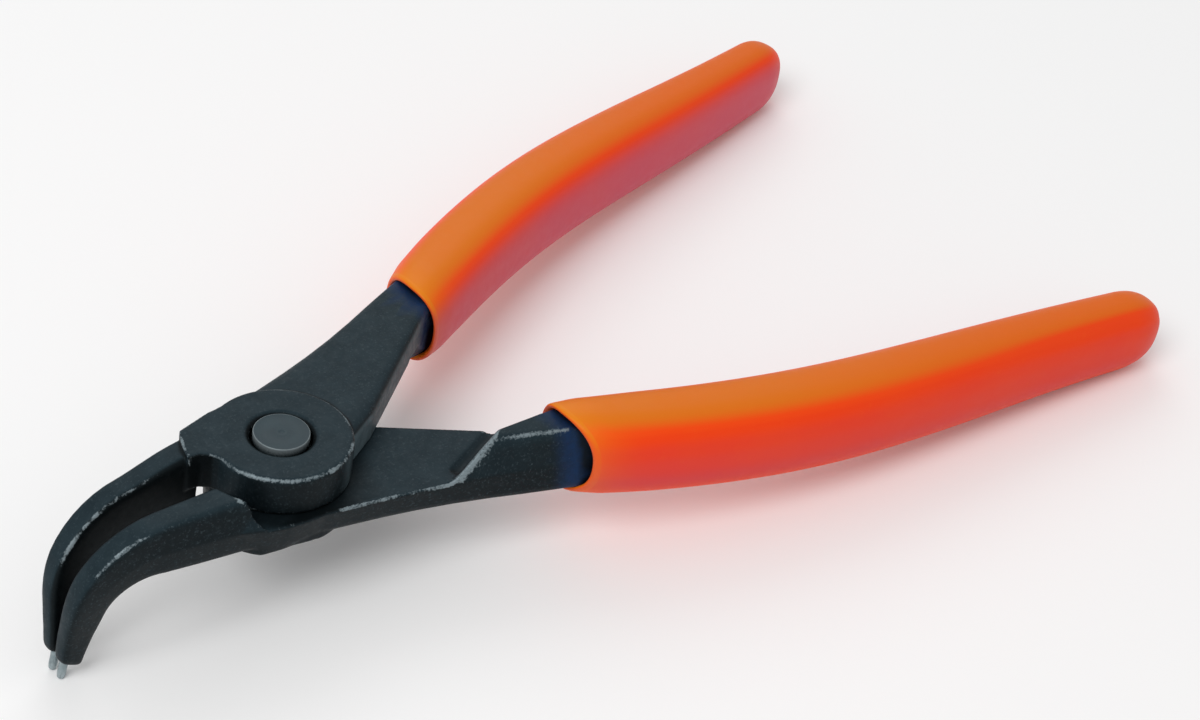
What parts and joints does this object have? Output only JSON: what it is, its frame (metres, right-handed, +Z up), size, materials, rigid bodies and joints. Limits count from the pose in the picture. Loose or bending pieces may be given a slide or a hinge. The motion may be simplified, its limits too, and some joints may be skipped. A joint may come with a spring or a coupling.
{
  "type": "bent-nose circlip pliers",
  "caption": "Bent-nose pliers for external retaining rings: two forged steel levers on a rivet, pressed-in tip pins and dipped orange grips; squeezing the grips spreads the tips.",
  "frame": {"origin": "on the floor that the tip pins and grip ends stand on, midway along and across the tool", "axes": "+X from the nose to the grips, +Y to the right lever, +Z up; the pivot axis leans about 4.8 degrees from Z towards the grips"},
  "size_m": [0.1301, 0.07, 0.0182],
  "materials": {
    "burnished_steel": "black burnished forged steel, worn bright on its edges",
    "rivet_steel": "turned and burnished steel",
    "spring_steel": "oiled spring wire",
    "tip_steel": "ground hardened steel",
    "dipped_grip": "satin dip-moulded soft plastic"
  },
  "bodies": {
    "right_side": {"right_lever": "burnished_steel", "right_tip": "tip_steel", "right_grip": "dipped_grip", "return_spring": "spring_steel"},
    "left_side": {"left_lever": "burnished_steel", "left_tip": "tip_steel", "left_grip": "dipped_grip", "pivot_rivet": "rivet_steel"}
  },
  "joints": [
    {"name": "handle_pivot", "type": "hinge", "parent": "right_side", "child": "left_side", "pos_m": [-0.03772, 0, 0.01294], "axis": [0.0834, 0, 0.9965], "range_deg": [0, 30], "stiffness_Nm_per_rad": 0.5, "springref_deg": -17.19, "deforming": ["return_spring"]}
  ]
}
